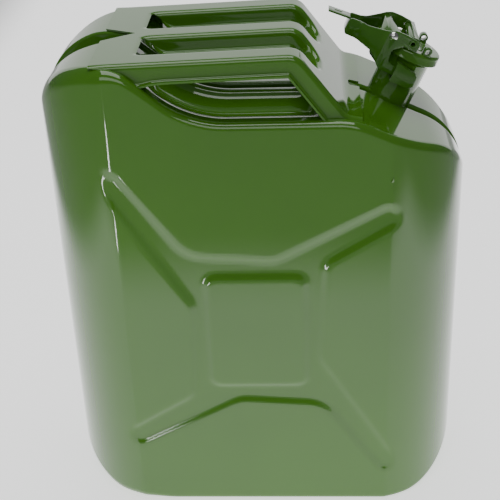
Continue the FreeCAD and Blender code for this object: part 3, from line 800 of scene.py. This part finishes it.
def makeHandle():
    rise, fall = math.tan(math.radians(handle["rise"])), math.tan(math.radians(handle["legFall"]))
    bendTop = handle["leftTop"] + (handle["bend"] - handle["left"]) * rise
    kneeX = handle["bend"] + (bendTop - handle["knee"]) / fall
    points = [(handle["left"], handle["leftTop"]), (handle["bend"], bendTop), (kneeX, handle["knee"])]
    points.append(handle["foot"])
    at, path = bentPath(points, [0, handle["bendRound"], handle["kneeRound"], 0], 0.5)
    tangent = np.gradient(path, axis=0)
    tangent /= np.linalg.norm(tangent, axis=1)[:, None]
    total = at[-1]

    def alongAt(x):
        return float(np.interp(x, path[:, 0], at))

    edge, flat = handle["edge"], handle["half"] - handle["edge"]
    tip = alongAt(handle["notchTip"])
    notch, foot = handle["notchHalf"], handle["footNotch"]
    footStart = total - handle["footNotchLong"]
    outer = [(0, -flat), (total, -flat), (total, -foot), (footStart, -foot), (footStart, foot), (total, foot),
             (total, flat), (0, flat), (0, notch), (tip, 0), (0, -notch)]
    outer = evenLine(np.array(outer, float), 1.0)
    holes = []
    left, right = alongAt(handle["slotLeft"]) - edge, alongAt(handle["slotRight"]) + edge
    for side in (-1, 1):
        near, far = side * (handle["slotIn"] - edge), side * (handle["slotOut"] + edge)
        low, high = min(near, far), max(near, far)
        corners = [(left, low), (right, low), (right, high), (left, high)]
        rl, rr = handle["slotRoundLeft"] + edge, handle["slotRoundRight"] + edge
        holes.append(evenLine(roundedLine(corners, [rl, rr, rr, rl], 0.5), 0.7))
    clearSelection()
    cells = (int(total / handle["grid"]), int(2 * flat / handle["grid"]))
    bpy.ops.mesh.primitive_grid_add(x_subdivisions=cells[0], y_subdivisions=cells[1], size=1)
    obj = bpy.context.object
    bpy.ops.object.mode_set(mode="EDIT")
    bpy.ops.mesh.select_mode(type="FACE")
    bm = bmesh.from_edit_mesh(obj.data)
    for v in bm.verts:
        v.co = Vector(((v.co.x + 0.5) * total, v.co.y * 2 * flat, 0))
    middles = np.array([f.calc_center_median()[:2] for f in bm.faces])
    keep = signedGap(outer, middles[:, 0], middles[:, 1]) < 0
    for hole in holes:
        keep &= signedGap(hole, middles[:, 0], middles[:, 1]) > 0
    for f, stays in zip(list(bm.faces), keep):
        f.select_set(not bool(stays))
    bmesh.update_edit_mesh(obj.data)
    bpy.ops.mesh.delete(type="FACE")
    bm = bmesh.from_edit_mesh(obj.data)
    mark = bm.verts.layers.int.new("mark")
    facts = []
    for v in bm.verts:
        v[mark] = -1
        if not v.is_boundary:
            continue
        point = np.array(v.co[:2])
        found = ((*nearestOn(line, point), kind) for kind, line in enumerate([outer] + holes))
        gap, spot, out, kind = min(found, key=lambda r: r[0])
        if kind and signedGap(holes[kind - 1], *(spot + out)[:, None])[0] > 0:
            out = -out
        x = float(np.interp(spot[0], at, path[:, 0]))
        ahead = float(np.interp(spot[0], at, path[:, 1]))
        if kind:
            depth = 1 + (handle["skirt"] - 1) * float(ease((spot[0] - left - 4) / 18))
            reach = edge
        elif abs(abs(spot[1]) - flat) < 0.3:
            out = np.array([0.0, math.copysign(1, spot[1])])
            xs, ds = zip(*handle["skirtAt"])
            depth = float(np.interp(x, xs, ds))
            if x > 45:
                room = (ahead - handle["legEnd"]) / math.cos(math.radians(handle["legFall"]))
                depth = min(depth, max(handle["leastSkirt"], room))
            reach = edge
        else:
            depth, reach = 0.0, 0.0
        v[mark] = len(facts)
        facts.append((spot[0], spot[1], out[0], out[1], depth, reach))
        v.co = Vector((spot[0], spot[1], 0))
    facts = np.array(facts)
    turn = [(k / 6 * math.pi / 2) for k in range(1, 7)]
    loops = []
    r = np.minimum(edge, np.maximum(facts[:, 4], 0.3))
    full = facts[:, 4] > 0
    lipSize = handle["lip"] * np.clip((facts[:, 4] - 7) / 6, 0, 1)
    for a in turn:
        loops.append((facts[:, 5] * math.sin(a), np.where(full, r * (1 - math.cos(a)), 0)))
    wall = np.maximum(facts[:, 4] - lipSize, r)
    for k in range(1, 5):
        loops.append((facts[:, 5], np.where(full, r + (wall - r) * k / 4, 0)))
    for a in turn[:5]:
        curl = np.where(full, wall + lipSize * math.sin(a), 0)
        loops.append((facts[:, 5] + lipSize * (1 - math.cos(a)), curl))
    loops.append((facts[:, 5] + lipSize * 1.35, np.where(full, wall + lipSize, 0)))
    for out, drop in loops:
        for f in bm.faces:
            f.select_set(False)
        for v in bm.verts:
            v.select_set(False)
        bpy.ops.mesh.select_mode(type="EDGE")
        bm = bmesh.from_edit_mesh(obj.data)
        for e in bm.edges:
            e.select_set(e.is_boundary)
        bmesh.update_edit_mesh(obj.data)
        bpy.ops.mesh.extrude_region_move()
        bm = bmesh.from_edit_mesh(obj.data)
        mark = bm.verts.layers.int["mark"]
        for v in bm.verts:
            if v.select:
                k = v[mark]
                s0, y0, os, oy = facts[k, :4]
                v.co = Vector((s0 + os * out[k], y0 + oy * out[k], -drop[k]))
    for v in bm.verts:
        s0, y, h = v.co
        x, z = np.interp(s0, at, path[:, 0]), np.interp(s0, at, path[:, 1])
        tx, tz = np.interp(s0, at, tangent[:, 0]), np.interp(s0, at, tangent[:, 1])
        v.co = Vector(((x - h * tz), y, (z + h * tx))) * mm
    bmesh.update_edit_mesh(obj.data)
    bpy.ops.mesh.select_all(action="SELECT")
    bpy.ops.mesh.remove_doubles(threshold=0.00002)
    bpy.ops.mesh.normals_make_consistent(inside=False)
    objectMode()
    topFace = max(obj.data.polygons, key=lambda p: p.center.z)
    if topFace.normal.z < 0:
        turnFacesOver(obj)
    addSheet(obj, handle["sheet"])
    smooth(obj, 40)
    return obj


dress(makeHandle(), "carryHandle", "can", enamel, "enamel", "handle_bar_front", "handle_bar_middle",
      "handle_bar_rear", "handle_yoke_left", "handle_yoke_right")
print("handle is pressed")


def spinOnNeck(name, profile, steps=128):
    # profile is a closed loop of (radius, height) in the neck's own frame
    clearSelection()
    bpy.ops.mesh.primitive_plane_add(size=1)
    obj = bpy.context.object
    obj.name = name
    bpy.ops.object.mode_set(mode="EDIT")
    bpy.ops.mesh.delete(type="VERT")
    bm = bmesh.from_edit_mesh(obj.data)
    verts = [bm.verts.new((r, 0, w)) for r, w in profile]
    for a, b in zip(verts, verts[1:] + verts[:1]):
        bm.edges.new((a, b))
    for v in bm.verts:
        v.select_set(True)
    bm.select_flush_mode()
    bmesh.update_edit_mesh(obj.data)
    bpy.ops.mesh.select_all(action="SELECT")
    bpy.ops.mesh.spin(steps=steps, angle=2 * math.pi, center=(0, 0, 0), axis=(0, 0, 1))
    bpy.ops.mesh.select_all(action="SELECT")
    bpy.ops.mesh.remove_doubles(threshold=0.001)
    bpy.ops.mesh.normals_make_consistent(inside=False)
    bm = bmesh.from_edit_mesh(obj.data)
    for v in bm.verts:
        v.co = (neckFrame @ v.co) * mm
    bmesh.update_edit_mesh(obj.data)
    objectMode()
    smooth(obj, 40)
    return obj


def arc(cx, cz, radius, start, end, count):
    angles = [math.radians(start + (end - start) * k / count) for k in range(count + 1)]
    return [(cx + radius * math.cos(a), cz + radius * math.sin(a)) for a in angles]


def neckProfile():
    inner, outer = neck["radius"] - neck["wall"], neck["radius"]
    top, foot = neck["mouth"], neck["foot"]
    bead = neck["beadTall"] / 2
    level = neck["surface"]
    loop = [(inner, foot), (inner, top - 1.2)]
    loop += arc(inner + 1.0, top - 1.0, 1.0, 180, 90, 5)
    loop += arc(neck["beadRadius"] - bead, top - bead, bead, 90, -60, 10)
    loop += [(outer, top - 2 * bead - 0.8), (outer, level + 3.2)]
    loop += arc(outer + 2.0, level + 2.9, 2.0, 180, 255, 5)
    loop += [(neck["flangeRadius"] - 0.5, level + 0.75)]
    loop += arc(neck["flangeRadius"] - 0.6, level + 0.15, 0.6, 90, 0, 4)
    loop += [(neck["flangeRadius"], level - 1.0), (outer, level - 1.0), (outer, foot)]
    return loop


lid = {"radius": 23.5, "low": 41.5, "top": 50.0, "sheet": 1.3, "round": 2.5,
       "gasketIn": 10.0, "gasketLow": 43.3, "gasketRound": 0.8}


def lidProfile():
    r, top, t, c = lid["radius"], lid["top"], lid["sheet"], lid["round"]
    loop = [(0.01, top - 0.6), (11.0, top - 0.6), (13.0, top - 0.1), (15.0, top)]
    loop += arc(r - c, top - c, c, 90, 0, 8)
    loop += [(r, lid["low"] + 1.2)] + arc(r - 0.35, lid["low"] + 0.65, 0.65, 0, -180, 8)
    loop += [(r - t, lid["low"] + 1.4), (r - t, top - c)] + arc(r - c, top - c, c - t, 0, 90, 5)
    loop += [(15.0, top - t), (13.0, top - t - 0.1), (11.0, top - t - 0.6), (0.01, top - t - 0.6)]
    return loop


def gasketProfile():
    inner, outer = lid["gasketIn"], lid["radius"] - lid["sheet"] - 0.4
    low, top = lid["gasketLow"], lid["top"] - lid["sheet"] - 0.65
    c = lid["gasketRound"]
    return (arc(inner + c, top - c, c, 180, 90, 4) + arc(outer - c, top - c, c, 90, 0, 4)
            + arc(outer - c, low + c, c, 0, -90, 4) + arc(inner + c, low + c, c, 270, 180, 4))


dress(spinOnNeck("fillerNeck", neckProfile()), "fillerNeck", "can", enamel, "enamel",
      "neck_tube", "neck_collar", "mouth_ring")
dress(spinOnNeck("lidCap", lidProfile()), "lidCap", "lid", enamel, "enamel", "lid_disc")
dress(spinOnNeck("lidGasket", gasketProfile()), "lidGasket", "lid", rubber, "gasket_rubber", "lid_gasket")
print("neck, lid and gasket are turned")


def easedCopy(node, name, width):
    # a copy of the CAD piece with its duplicate points merged and its edges rounded
    clearSelection()
    source = nodes[node]
    obj = source.copy()
    obj.data = source.data.copy()
    for key in list(obj.keys()):
        del obj[key]
    obj.parent = None
    bpy.context.scene.collection.objects.link(obj)
    obj.name = name
    editMode(obj)
    bpy.ops.mesh.select_all(action="SELECT")
    bpy.ops.mesh.remove_doubles(threshold=0.000005)
    bpy.ops.mesh.dissolve_limited(angle_limit=math.radians(1.0))
    bpy.ops.mesh.normals_make_consistent(inside=False)
    objectMode()
    bevel = obj.modifiers.new("easedEdges", "BEVEL")
    bevel.width = width * mm
    bevel.segments = 2
    bevel.limit_method = "ANGLE"
    bevel.angle_limit = math.radians(40)
    bevel.use_clamp_overlap = True
    applyAll(obj)
    smooth(obj, 35)
    return obj


# each CAD node with its piece, its body and the width of its rounded edges in millimetres
smallParts = {"lever": ("camLever", "lever", 0.45), "latch_plate": ("latchPlate", "lever", 0.35),
              "lid_saddle": ("lidSaddle", "lid", 0.35), "lid_strap": ("lidStrap", "lid", 0.4),
              "lid_ear_front": ("earFront", "lid", 0.35), "lid_ear_rear": ("earRear", "lid", 0.35),
              "catch_front": ("catchFront", "can", 0.6), "catch_rear": ("catchRear", "can", 0.6),
              "hinge_bracket": ("hingeBracket", "can", 0.4), "lever_pivot_pin": ("pivotPin", "lid", 0.3),
              "hinge_pin": ("hingePin", "can", 0.4)}
for node, (name, body, width) in smallParts.items():
    dress(easedCopy(node, name, width), name, body, leverPaint, "enamel", node)
print("small parts are eased")


# the CAD pieces that still show get a finish too
for name, node in nodes.items():
    if node.hide_render:
        continue
    mat = rubber if "gasket" in name else zinc if name == "latch_rivet" else leverPaint
    for slotIndex in range(max(1, len(node.material_slots))):
        if not node.material_slots:
            node.data.materials.append(mat)
        else:
            node.material_slots[slotIndex].material = mat

bpy.context.view_layer.update()
